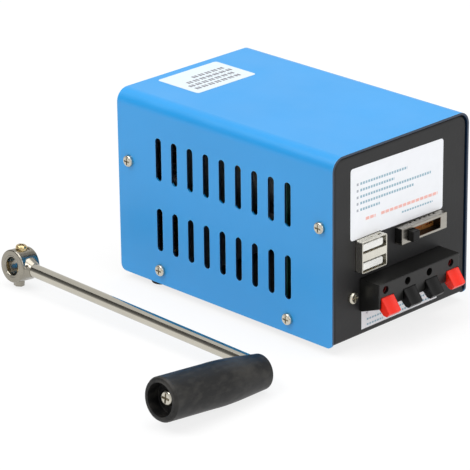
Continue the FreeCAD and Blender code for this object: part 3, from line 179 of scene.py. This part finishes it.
class Maker:
    """One node material that starts from object coordinates."""

    def __init__(self, name):
        self.material = bpy.data.materials.new(name)
        self.material.use_nodes = True
        self.nodes = self.material.node_tree.nodes
        self.links = self.material.node_tree.links
        self.nodes.clear()
        out = self.nodes.new("ShaderNodeOutputMaterial")
        self.shader = self.nodes.new("ShaderNodeBsdfPrincipled")
        self.links.new(self.shader.outputs[0], out.inputs[0])
        self.place = self.nodes.new("ShaderNodeTexCoord").outputs["Object"]

    def noise(self, scale, detail=3.0, stretch=(1, 1, 1)):
        mapping = self.nodes.new("ShaderNodeMapping")
        mapping.inputs["Scale"].default_value = stretch
        self.links.new(self.place, mapping.inputs["Vector"])
        n = self.nodes.new("ShaderNodeTexNoise")
        n.inputs["Scale"].default_value = scale
        n.inputs["Detail"].default_value = detail
        self.links.new(mapping.outputs[0], n.inputs["Vector"])
        return n.outputs["Fac"]

    def spread(self, value, low, high, start=0.3, end=0.7):
        n = self.nodes.new("ShaderNodeMapRange")
        n.inputs["From Min"].default_value = start
        n.inputs["From Max"].default_value = end
        n.inputs["To Min"].default_value = low
        n.inputs["To Max"].default_value = high
        self.links.new(value, n.inputs["Value"])
        return n.outputs[0]

    def blend(self, factor, first, second):
        n = self.nodes.new("ShaderNodeMix")
        n.data_type = "RGBA"
        self.links.new(factor, n.inputs["Factor"])
        for socket, value in ((n.inputs[6], first), (n.inputs[7], second)):
            if isinstance(value, tuple):
                socket.default_value = value
            else:
                self.links.new(value, socket)
        return n.outputs[2]

    def edge_mask(self, radius):
        """1 on the outer and inner edges of the shape, 0 on its faces."""
        soft = self.nodes.new("ShaderNodeBevel")
        soft.samples = 6
        soft.inputs["Radius"].default_value = radius
        plain = self.nodes.new("ShaderNodeNewGeometry")
        dot = self.nodes.new("ShaderNodeVectorMath")
        dot.operation = "DOT_PRODUCT"
        self.links.new(soft.outputs[0], dot.inputs[0])
        self.links.new(plain.outputs["Normal"], dot.inputs[1])
        return self.spread(dot.outputs["Value"], 1.0, 0.0, 0.80, 0.985)

    def end_mask(self):
        """1 on faces that look along the case, 0 on the rest."""
        split = self.nodes.new("ShaderNodeSeparateXYZ")
        self.links.new(self.nodes.new("ShaderNodeTexCoord").outputs["Normal"], split.inputs[0])
        size = self.nodes.new("ShaderNodeMath")
        size.operation = "ABSOLUTE"
        self.links.new(split.outputs["X"], size.inputs[0])
        return self.spread(size.outputs[0], 0.0, 1.0, 0.90, 0.97)

    def inner_mask(self, centre):
        """1 on faces that look towards a line along the case through the centre, 0 on the rest."""
        coords = self.nodes.new("ShaderNodeTexCoord")
        away = self.nodes.new("ShaderNodeVectorMath")
        away.operation = "SUBTRACT"
        self.links.new(coords.outputs["Object"], away.inputs[0])
        away.inputs[1].default_value = centre
        flat = self.nodes.new("ShaderNodeVectorMath")
        flat.operation = "MULTIPLY"
        self.links.new(away.outputs[0], flat.inputs[0])
        flat.inputs[1].default_value = (0, 1, 1)
        dot = self.nodes.new("ShaderNodeVectorMath")
        dot.operation = "DOT_PRODUCT"
        self.links.new(flat.outputs[0], dot.inputs[0])
        self.links.new(coords.outputs["Normal"], dot.inputs[1])
        return self.spread(dot.outputs["Value"], 1.0, 0.0, -0.012, -0.004)

    def normal(self, edge, bumps):
        """Slightly rounded edges, then each bump as (height, depth in metres)."""
        last = None
        if edge:
            soft = self.nodes.new("ShaderNodeBevel")
            soft.samples = 6
            soft.inputs["Radius"].default_value = edge
            last = soft.outputs[0]
        for height, depth in bumps:
            n = self.nodes.new("ShaderNodeBump")
            n.inputs["Strength"].default_value = 1.0
            n.inputs["Distance"].default_value = depth
            self.links.new(height, n.inputs["Height"])
            if last:
                self.links.new(last, n.inputs["Normal"])
            last = n.outputs[0]
        if last:
            self.links.new(last, self.shader.inputs["Normal"])

    def shade(self, **values):
        """Sets sockets of the shader, linked or plain."""
        names = {
            "colour": "Base Color",
            "rough": "Roughness",
            "metal": "Metallic",
            "coat": "Coat Weight",
            "coat_rough": "Coat Roughness",
            "specular": "Specular IOR Level",
        }
        for key, value in values.items():
            socket = self.shader.inputs[names[key]]
            if isinstance(value, bpy.types.NodeSocket):
                self.links.new(value, socket)
            else:
                socket.default_value = value
        return self.material


def mixed(colour, by):
    """The colour made darker or lighter by a factor."""
    return (*[min(1.0, max(0.0, c * by)) for c in colour[:3]], 1.0)


def powder_coat(name, colour, rough, grain, depth, worn, edge=0.00035, painted_shade=None):
    """Baked paint on sheet metal: fine orange peel, uneven gloss, edges lightened as rubbed wear and as a
    painted highlight, painted shade on cut ends and inner faces.
    """
    m = Maker(name)
    patch = m.noise(18.0, 4.0)
    fine = m.noise(grain, 2.0)
    body = m.blend(m.spread(patch, 0.0, 1.0), mixed(colour, 0.97), mixed(colour, 1.03))
    # The edges are blended towards the lighter edge colour: partly rubbed wear, partly a painted highlight
    # along bends and corners.
    edges = m.edge_mask(0.0007)
    body = m.blend(m.spread(edges, 0.0, 0.35, 0.0, 1.0), body, worn)
    # Faces that look along the case and faces that look inwards take the given dark colour: painted shade on
    # the cut ends, slot walls and inside of the cover.
    if painted_shade:
        body = m.blend(m.end_mask(), body, painted_shade)
        body = m.blend(m.inner_mask(at(0, 0, CASE_MIDDLE)), body, painted_shade)
    m.normal(edge, [(m.noise(grain * 0.25, 2.0), depth * 2), (fine, depth)])
    level = m.spread(m.noise(45.0, 5.0), rough - 0.04, rough + 0.05)
    return m.shade(colour=body, rough=level, specular=0.66 if painted_shade else 0.42)


def bright_metal(name, colour, rough, scratches=(1, 1, 1), depth=0.000004, edge=0.0002):
    """Plated or polished metal with faint dulling and hairlines."""
    m = Maker(name)
    cloud = m.noise(70.0, 5.0)
    hair = m.noise(1500.0, 3.0, scratches)
    body = m.blend(m.spread(cloud, 0.0, 1.0), mixed(colour, 0.88), colour)
    m.normal(edge, [(hair, depth), (m.noise(260.0, 2.0), depth * 3)])
    level = m.spread(hair, rough * 0.7, rough * 1.35)
    return m.shade(colour=body, rough=level, metal=1.0)


def cast_plate(name, colour, rough):
    """Plated casting: pitted skin under the plating."""
    m = Maker(name)
    pits = m.noise(620.0, 3.0)
    body = m.blend(m.spread(m.noise(120.0, 4.0), 0.0, 1.0), mixed(colour, 0.80), colour)
    m.normal(0.0004, [(m.noise(150.0, 2.0), 0.00005), (pits, 0.000008)])
    return m.shade(colour=body, rough=m.spread(pits, rough * 0.8, rough * 1.3), metal=1.0)


def moulded(name, colour, rough, grain=1400.0, depth=0.00001, edge=0.00025, gloss=0.5):
    """Moulded plastic: spark-eroded skin, slight swirl in the colour."""
    m = Maker(name)
    swirl = m.noise(55.0, 5.0)
    skin = m.noise(grain, 3.0)
    body = m.blend(m.spread(swirl, 0.0, 1.0), mixed(colour, 0.92), mixed(colour, 1.08))
    m.normal(edge, [(skin, depth), (m.noise(90.0, 2.0), depth * 4)])
    level = m.spread(m.noise(120.0, 4.0), rough - 0.05, rough + 0.06)
    return m.shade(colour=body, rough=level, specular=gloss)


def scuffed_rubber(name, colour, worn, rough):
    """Satin grip: dark moulding with rubbed patches and a fine leathery skin."""
    m = Maker(name)
    patch = m.noise(52.0, 6.0, (1, 0.45, 1))
    fine = m.noise(420.0, 4.0, (1, 0.5, 1))
    body = m.blend(m.spread(patch, 0.0, 1.0, 0.50, 0.68), colour, worn)
    body = m.blend(m.spread(fine, 0.0, 0.5, 0.45, 0.75), body, worn)
    m.normal(0.0003, [(m.noise(1100.0, 3.0), 0.000016), (m.noise(90.0, 2.0), 0.00006)])
    level = m.spread(patch, rough + 0.08, rough - 0.08)
    return m.shade(colour=body, rough=level, specular=0.32)


def label_film(name, colour):
    """Printed white film: faint paper tone and a satin skin."""
    m = Maker(name)
    tone = m.blend(m.spread(m.noise(240.0, 5.0), 0.0, 1.0), mixed(colour, 0.975), colour)
    m.normal(0.0, [(m.noise(700.0, 3.0), 0.000006)])
    return m.shade(colour=tone, rough=m.spread(m.noise(60.0, 3.0), 0.34, 0.44), specular=0.45)


def laminate(name, base, traces):
    """Circuit board: solder mask over a maze of tracks."""
    m = Maker(name)
    brick = m.nodes.new("ShaderNodeTexBrick")
    brick.inputs["Scale"].default_value = 240.0
    brick.inputs["Mortar Size"].default_value = 0.12
    turn = m.nodes.new("ShaderNodeMapping")
    turn.inputs["Rotation"].default_value = (0, math.radians(90), 0)
    m.links.new(m.place, turn.inputs["Vector"])
    m.links.new(turn.outputs[0], brick.inputs["Vector"])
    body = m.blend(brick.outputs["Fac"], base, traces)
    m.normal(0.0002, [(brick.outputs["Fac"], 0.00003), (m.noise(900.0), 0.000005)])
    return m.shade(colour=body, rough=m.spread(m.noise(200.0), 0.28, 0.4))


STEEL = srgb(196, 197, 200)
MATERIALS = {
    # blue_paint: the light blue given for the edges is partly a painted highlight; the dark navy given for
    # the cut ends and inner faces is painted shade.
    "blue_paint": powder_coat(
        "blue_paint", srgb(18, 142, 210), 0.34, 1500.0, 0.000007, srgb(120, 200, 245), painted_shade=srgb(16, 40, 66)
    ),
    "black_paint": powder_coat("black_paint", srgb(23, 23, 24), 0.50, 2300.0, 0.000022, srgb(60, 60, 62)),
    "rubber_black": moulded("rubber_black", srgb(34, 34, 34), 0.72, 900.0, 0.00003, gloss=0.3),
    "screw_nickel": bright_metal("screw_nickel", srgb(208, 203, 188), 0.22),
    "crank_chrome": bright_metal("crank_chrome", srgb(198, 193, 180), 0.13, (0.05, 1, 1), 0.000005),
    "hub_nickel": cast_plate("hub_nickel", srgb(160, 155, 143), 0.20),
    "bolt_zinc": bright_metal("bolt_zinc", srgb(206, 184, 138), 0.24),
    "plate_steel": bright_metal("plate_steel", STEEL, 0.42, (1, 0.03, 1)),
    "shaft_steel": bright_metal("shaft_steel", srgb(190, 190, 192), 0.26, (1, 0.05, 0.05)),
    "gear_steel": bright_metal("gear_steel", srgb(150, 151, 154), 0.38),
    "bush_brass": bright_metal("bush_brass", srgb(206, 170, 92), 0.30),
    "motor_steel": bright_metal("motor_steel", srgb(182, 184, 188), 0.36, (0.05, 1, 1)),
    "magnet": cast_plate("magnet", srgb(70, 70, 74), 0.6),
    "rotor_steel": bright_metal("rotor_steel", srgb(140, 140, 144), 0.45, (0.02, 1, 1)),
    "cap_plastic": moulded("cap_plastic", srgb(40, 40, 43), 0.5),
    "tin": bright_metal("tin", srgb(214, 214, 212), 0.30),
    "board_green": laminate("board_green", srgb(12, 66, 56), srgb(22, 92, 76)),
    "heat_sink": bright_metal("heat_sink", srgb(170, 172, 176), 0.42, (1, 1, 0.03)),
    "capacitor_sleeve": moulded("capacitor_sleeve", srgb(24, 28, 60), 0.26),
    "ferrite": moulded("ferrite", srgb(190, 164, 60), 0.45, 500.0, 0.00003),
    "chip": moulded("chip", srgb(30, 30, 31), 0.55),
    "lead_red": moulded("lead_red", srgb(196, 30, 26), 0.38),
    "lead_black": moulded("lead_black", srgb(28, 28, 30), 0.40),
    "usb_steel": bright_metal("usb_steel", srgb(222, 219, 208), 0.27, (1, 1, 0.05)),
    "switch_steel": bright_metal("switch_steel", srgb(172, 168, 160), 0.30, (1, 0.05, 1)),
    "white_plastic": moulded("white_plastic", srgb(236, 236, 232), 0.32, gloss=0.55),
    "black_plastic": moulded("black_plastic", srgb(20, 20, 19), 0.36, gloss=0.42),
    "lever_black": moulded("lever_black", srgb(8, 8, 8), 0.40, gloss=0.22),
    # ring_red: the red of the rings, darkened to the shade inside the wire holes: painted shade.
    "ring_red": moulded("ring_red", srgb(104, 18, 16), 0.5, gloss=0.3),
    "board_brown": laminate("board_brown", srgb(86, 52, 30), srgb(150, 98, 44)),
    "red_plastic": moulded("red_plastic", srgb(228, 34, 10), 0.34, gloss=0.4),
    "label_white": label_film("label_white", srgb(236, 238, 242)),
    "label_pale": label_film("label_pale", srgb(206, 216, 222)),
    "grip_plastic": scuffed_rubber("grip_plastic", srgb(13, 13, 13), srgb(58, 56, 52), 0.46),
}
DETAIL = {
    "print_blue": label_film("print_blue", srgb(142, 176, 192)),
    "print_red": label_film("print_red", srgb(236, 178, 168)),
    "print_grey": label_film("print_grey", srgb(168, 172, 180)),
    "print_dark": label_film("print_dark", srgb(112, 110, 118)),
    "copper": bright_metal("copper", srgb(206, 118, 66), 0.30),
    "gold": bright_metal("gold", srgb(226, 184, 96), 0.25),
}

SLOT_OF = {s["node"]: s["material_slot"] for s in frame["record"]["subparts"]}


# Nodes whose look differs a little from the rest of their slot
LOOK_OF = {"top_label": "label_pale", "switch_frame": "switch_steel"}


def dress_nodes():
    for name, obj in frame["nodes"].items():
        obj.data.materials.clear()
        obj.data.materials.append(MATERIALS[LOOK_OF.get(name, SLOT_OF[name])])


# Small pieces made here


def finish_piece(name, mesh, material):
    obj = bpy.data.objects.new(name, mesh)
    bpy.context.scene.collection.objects.link(obj)
    obj.data.materials.append(material)
    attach(obj, "case")
    return obj


def slab(bm, low, high, bevel=0.0):
    """Adds a block between two corners, with small rounded edges."""
    size = high - low
    middle = (low + high) / 2
    made = bmesh.ops.create_cube(bm, size=1.0)
    for v in made["verts"]:
        v.co = Vector([v.co[i] * size[i] + middle[i] for i in range(3)])
    if bevel:
        edges = {e for v in made["verts"] for e in v.link_edges}
        bmesh.ops.bevel(bm, geom=list(edges), offset=bevel, segments=2, affect="EDGES", profile=0.5)


def slabs(name, corners, material, bevel=0.0):
    """One piece of many blocks, each given by its two corners."""
    bm = bmesh.new()
    for low, high in corners:
        slab(bm, low, high, bevel)
    mesh = bpy.data.meshes.new(name)
    bm.to_mesh(mesh)
    bm.free()
    return finish_piece(name, mesh, material)


def wire(name, runs, radius, material, closed=False, order=3):
    """Smooth round wires, one spline for each run of points."""
    curve = bpy.data.curves.new(name, "CURVE")
    curve.dimensions = "3D"
    curve.bevel_depth = radius
    curve.bevel_resolution = 4
    curve.resolution_u = 8
    curve.use_fill_caps = True
    for points in runs:
        s = curve.splines.new("NURBS")
        s.points.add(len(points) - 1)
        for p, co in zip(s.points, points):
            p.co = (*co, 1.0)
        s.order_u = order
        s.use_cyclic_u = closed
        s.use_endpoint_u = not closed
    return finish_piece(name, curve, material)


# Print on the bare labels: rows of plain dashes


def panel_marks(name, rules, material):
    """Ruled marks that follow the slope of the panel label, each (y0, y1, height, thickness)."""
    bm = bmesh.new()
    for y0, y1, z, thick in rules:
        rings = []
        for x in (LABEL_FACE - PRINT_SINK, LABEL_FACE + PRINT_T):
            ring = []
            for y, side in ((y0, -1), (y1, -1), (y1, 1), (y0, 1)):
                level = z - (y - LABEL_LEFT) * LABEL_SLOPE + side * thick / 2
                ring.append(bm.verts.new(at(x, y, level)))
            rings.append(ring)
        back, front = rings
        bm.faces.new(list(reversed(back)))
        bm.faces.new(front)
        for i in range(4):
            j = (i + 1) % 4
            bm.faces.new((back[i], back[j], front[j], front[i]))
    mesh = bpy.data.meshes.new(name)
    bm.to_mesh(mesh)
    bm.free()
    finish_piece(name, mesh, material)


def dashed(y0, y1, z, thick, dash=DASH):
    """A ruled line broken into short dashes."""
    rules = []
    y = y0
    while y < y1:
        rules.append((y, min(y + dash, y1), z, thick))
        y += dash + DASH_GAP
    return rules


def print_panel():
    bullets = []
    rules = []
    for k, length in enumerate(TEXT_LENGTHS):
        z = TEXT_TOP - TEXT_PITCH * k
        bullets.append((*BULLET_Y, z, TEXT_H))
        rules += dashed(TEXT_LEFT, TEXT_LEFT + length, z, TEXT_H)
    panel_marks("panel_print_bullets", bullets, DETAIL["print_grey"])
    panel_marks("panel_print_rules", rules, DETAIL["print_blue"])
    band = []
    for y0, y1 in BAND_RUNS:
        band += dashed(y0, y1, BAND_Z, BAND_H, BAND_DASH)
    panel_marks("panel_print_band", band, DETAIL["print_red"])
    panel_marks("panel_print_foot", dashed(*FOOT_RUN, FOOT_Z, SMALL_H), DETAIL["print_blue"])


def strip_block(y0, y1, z0, z1, lift=0.0):
    """Corners of one mark on the strip under the terminal."""
    return at(LABEL_FACE - PRINT_SINK, y0, z0), at(LABEL_FACE + PRINT_T + lift, y1, z1)


def print_terminal():
    rules = []
    for start, end in STRIP_RUNS:
        for z in STRIP_Z:
            for y0, y1, _, thick in dashed(start, end, z, SMALL_H):
                rules.append(strip_block(y0, y1, z - thick / 2, z + thick / 2))
    slabs("terminal_print_rules", rules, DETAIL["print_blue"])
    signs = []
    for y, plus in SIGNS:
        signs.append(strip_block(y - SIGN_HALF, y + SIGN_HALF, *SIGN_BAR))
        if plus:
            signs.append(strip_block(y - SIGN_POST_HALF, y + SIGN_POST_HALF, *SIGN_POST, 0.005))
    slabs("terminal_print_signs", signs, DETAIL["print_grey"])


def print_top():
    z = TOP_LABEL_FACE
    width, length = TOP_MARK
    marks = []
    for k, (start, end) in enumerate(TOP_ROWS):
        x = TOP_ROW_X + TOP_ROW_PITCH * k
        y = start
        while y < end:
            for shift in TOP_MARK_SHIFTS:
                low = at(x, y + shift, z - PRINT_SINK)
                marks.append((low, at(x + width, y + shift + length, z + PRINT_T)))
            y += TOP_MARK_PITCH
    slabs("top_print_rules", marks, DETAIL["print_dark"])


# Sockets, switch and boards


def usb_contacts():
    """Gold blades under each tongue."""
    blades = []
    for base in PORTS:
        for k in range(BLADES):
            y = BLADE_Y + BLADE_PITCH * k
            low = at(BLADE_X[0], y - 0.5, base + BLADE_Z[0])
            blades.append((low, at(BLADE_X[1], y + 0.5, base + BLADE_Z[1])))
    slabs("usb_contacts", blades, DETAIL["gold"], 0.00003)


def switch_contacts():
    """Copper strips on the board behind the switch's window."""
    strips = []
    x0, x1 = STRIP_CONTACT_X
    for k in range(3):
        y = STRIP_CONTACT_Y + STRIP_CONTACT_PITCH * k
        for z0, z1 in STRIP_CONTACT_Z:
            strips.append((at(x0, y, z0), at(x1, y + STRIP_CONTACT_L, z1)))
    slabs("switch_contacts", strips, DETAIL["copper"], 0.00004)


def chip_legs():
    """Tinned legs down both sides of each chip."""
    legs = []
    for y, z in CHIPS:
        for k in range(LEGS):
            middle = z + LEG_PITCH * (k - 2)
            for side in (-1, 1):
                ends = sorted(y + side * out + shift for out, shift in LEG_Y)
                low = at(LEG_X[0], ends[0], middle - LEG_HALF)
                legs.append((low, at(LEG_X[1], ends[1], middle + LEG_HALF)))
    slabs("chip_legs", legs, MATERIALS["tin"], 0.00004)


def choke_winding():
    """One copper winding wrapped around the ring."""
    x, y, z = CHOKE_CENTRE
    points = []
    for i in range(TURNS * POINTS_PER_TURN):
        t = 2 * math.pi * i / (TURNS * POINTS_PER_TURN)
        w = 2 * math.pi * i / POINTS_PER_TURN
        r = CHOKE_R + TURN_R * math.cos(w)
        points.append(at(x + TURN_R * math.sin(w), y + r * math.cos(t), z + r * math.sin(t)))
    wire("choke_winding", [points], COPPER_R * MM, DETAIL["copper"], closed=True, order=4)


def motor_lead_run(side, low, high):
    """Down from a motor tab, then across to the board."""
    y = low[1] + LEAD_R if side < 0 else high[1] - LEAD_R
    x0 = low[0] + LEAD_R
    x1 = high[0]
    top = high[2]
    end = low[2] + LEAD_R + (LEAD_STEP if side < 0 else 0.0)
    return [
        Vector((x0, y, top)),
        Vector((x0, y, top - LEAD_DROP)),
        Vector((x0, y, end + LEAD_BEND)),
        Vector((x0 + LEAD_CORNER[0], y, end + LEAD_CORNER[1])),
        Vector((x1 - LEAD_END, y, end)),
        Vector((x1, y, end)),
    ]


def output_lead_run(y, low, high):
    """From the board out, up and into one way of the terminal."""
    z0 = low[2] + LEAD_R
    z1 = high[2] - LEAD_R
    x = CASE_X + OUTPUT_LEAD_X * MM
    return [
        Vector((low[0], y, z0)),
        Vector((low[0] + OUTPUT_LEAD_START, y, z0)),
        Vector((x, y, z0)),
        Vector((x, y, z1)),
        Vector((high[0] - OUTPUT_LEAD_END, y, z1)),
        Vector((high[0], y, z1)),
    ]


def leads():
    """Soft insulated leads between motor, board and terminal."""
    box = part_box("motor_leads")
    runs = [motor_lead_run(side, *box) for side in (-1, 1)]
    piece = wire("motor_leads_soft", runs, LEAD_R, MATERIALS["lead_red"])
    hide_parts("motor_leads")
    for colour in ("red", "black"):
        node = "output_leads_" + colour
        low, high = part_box(node)
        runs = [output_lead_run(y, low, high) for y in (low[1] + LEAD_R, high[1] - LEAD_R)]
        slot = "lead_" + colour
        piece = wire(node + "_soft", runs, LEAD_R, MATERIALS[slot])
        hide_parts(node)


# Surroundings


def white_to_eye(nodes, links, glow, other):
    """Shows the glow to camera, mirror and glass rays, the other shader to the rest."""
    path = nodes.new("ShaderNodeLightPath")
    total = path.outputs["Is Camera Ray"]
    for key in ("Is Glossy Ray", "Is Transmission Ray"):
        m = nodes.new("ShaderNodeMath")
        m.operation = "MAXIMUM"
        links.new(total, m.inputs[0])
        links.new(path.outputs[key], m.inputs[1])
        total = m.outputs[0]
    mix = nodes.new("ShaderNodeMixShader")
    links.new(total, mix.inputs[0])
    links.new(other, mix.inputs[1])
    links.new(glow, mix.inputs[2])
    return mix.outputs[0]


def make_floor():
    bm = bmesh.new()
    bmesh.ops.create_grid(bm, x_segments=1, y_segments=1, size=FLOOR_SIZE / 2)
    mesh = bpy.data.meshes.new("floor")
    bm.to_mesh(mesh)
    bm.free()
    floor = bpy.data.objects.new("floor", mesh)
    bpy.context.scene.collection.objects.link(floor)
    m = bpy.data.materials.new("floor")
    m.use_nodes = True
    nodes = m.node_tree.nodes
    links = m.node_tree.links
    nodes.clear()
    out = nodes.new("ShaderNodeOutputMaterial")
    matt = nodes.new("ShaderNodeBsdfDiffuse")
    matt.inputs[0].default_value = (FLOOR_WHITE, FLOOR_WHITE, FLOOR_WHITE, 1)
    glow = nodes.new("ShaderNodeEmission")
    glow.inputs[0].default_value = (1, 1, 1, 1)
    part = nodes.new("ShaderNodeMixShader")
    part.inputs[0].default_value = FLOOR_GLOW
    links.new(matt.outputs[0], part.inputs[1])
    links.new(glow.outputs[0], part.inputs[2])
    links.new(white_to_eye(nodes, links, part.outputs[0], matt.outputs[0]), out.inputs[0])
    mesh.materials.append(m)


def make_sky():
    world = bpy.data.worlds.new("studio")
    bpy.context.scene.world = world
    world.use_nodes = True
    nodes = world.node_tree.nodes
    links = world.node_tree.links
    nodes.clear()
    out = nodes.new("ShaderNodeOutputWorld")
    white = nodes.new("ShaderNodeBackground")
    white.inputs[1].default_value = 1.0
    level = nodes.new("ShaderNodeBackground")
    level.inputs[1].default_value = SKY_LEVEL
    links.new(white_to_eye(nodes, links, white.outputs[0], level.outputs[0]), out.inputs[0])


def soft_box(name, place, size, watts):
    data = bpy.data.lights.new(name, "AREA")
    data.shape = "RECTANGLE"
    data.size = size[0]
    data.size_y = size[1]
    data.energy = watts
    lamp = bpy.data.objects.new(name, data)
    bpy.context.scene.collection.objects.link(lamp)
    where = at(*[c / MM for c in place])
    aim = at(0, 0, CASE_MIDDLE) - where
    lamp.matrix_world = Matrix.Translation(where) @ aim.to_track_quat("-Z", "Y").to_matrix().to_4x4()


def make_lights():
    for name, (place, size, watts) in LAMPS.items():
        soft_box(name, place, size, watts)


def dark_card(name, low, high, levels):
    """Upright dark wall that only shows in shiny surfaces, its level given from bottom to top."""
    mesh = bpy.data.meshes.new(name)
    corners = [(low.x, low.y, low.z), (high.x, low.y, low.z), (high.x, low.y, high.z), (low.x, low.y, high.z)]
    mesh.from_pydata(corners, [], [(0, 1, 2, 3)])
    card = bpy.data.objects.new(name, mesh)
    bpy.context.scene.collection.objects.link(card)
    card.visible_camera = False
    card.visible_diffuse = False
    card.visible_shadow = False
    card.visible_transmission = False
    m = bpy.data.materials.new(name)
    m.use_nodes = True
    nodes = m.node_tree.nodes
    links = m.node_tree.links
    nodes.clear()
    split = nodes.new("ShaderNodeSeparateXYZ")
    links.new(nodes.new("ShaderNodeTexCoord").outputs["Object"], split.inputs[0])
    share = nodes.new("ShaderNodeMapRange")
    share.inputs["From Min"].default_value = low.z
    share.inputs["From Max"].default_value = high.z
    links.new(split.outputs["Z"], share.inputs["Value"])
    ramp = nodes.new("ShaderNodeValToRGB")
    stops = ramp.color_ramp.elements
    stops[0].position, stops[1].position = 0.0, 1.0
    while len(stops) < len(levels):
        stops.new(0.5)
    for stop, (place, level) in zip(stops, levels):
        stop.position = place
        stop.color = (level, level, level, 1)
    links.new(share.outputs[0], ramp.inputs[0])
    glow = nodes.new("ShaderNodeEmission")
    links.new(ramp.outputs[0], glow.inputs[0])
    out = nodes.new("ShaderNodeOutputMaterial")
    links.new(glow.outputs[0], out.inputs[0])
    mesh.materials.append(m)


def make_dark_cards():
    d = CARD_DISTANCE / MM
    x0, x1 = FRONT_SPAN
    dark_card("front_card", at(x0 * d, -d, 0), at(x1 * d, -d, FRONT_TOP * d), FRONT_LEVELS)
    x0, x1 = BACK_SPAN
    dark_card("back_card", at(x0 * d, d, BACK_LOW * d), at(x1 * d, d, BACK_TOP * d), BACK_LEVELS)


def make_camera():
    data = bpy.data.cameras.new("camera")
    data.sensor_width = SENSOR_MM
    data.lens = FOCAL_PX / PHOTO_PX * SENSOR_MM
    data.clip_start = 0.05
    camera = bpy.data.objects.new("camera", data)
    bpy.context.scene.collection.objects.link(camera)
    a, e, r = CAMERA_AZIMUTH, CAMERA_ELEVATION, CAMERA_ROLL
    back = Vector((math.sin(a) * math.cos(e), -math.cos(a) * math.cos(e), math.sin(e)))
    level = Vector((math.cos(a), math.sin(a), 0))
    above = back.cross(level)
    right = level * math.cos(r) + above * math.sin(r)
    up = above * math.cos(r) - level * math.sin(r)
    turn = Matrix((right, up, back)).transposed().to_4x4()
    camera.matrix_world = Matrix.Translation(at(*[c / MM for c in CAMERA_FROM_CASE])) @ turn
    bpy.context.scene.camera = camera


dress_nodes()
print_panel()
print_terminal()
print_top()
usb_contacts()
switch_contacts()
chip_legs()
choke_winding()
leads()
make_floor()
make_sky()
make_lights()
make_dark_cards()
make_camera()
bpy.context.scene.view_settings.view_transform = "Standard"
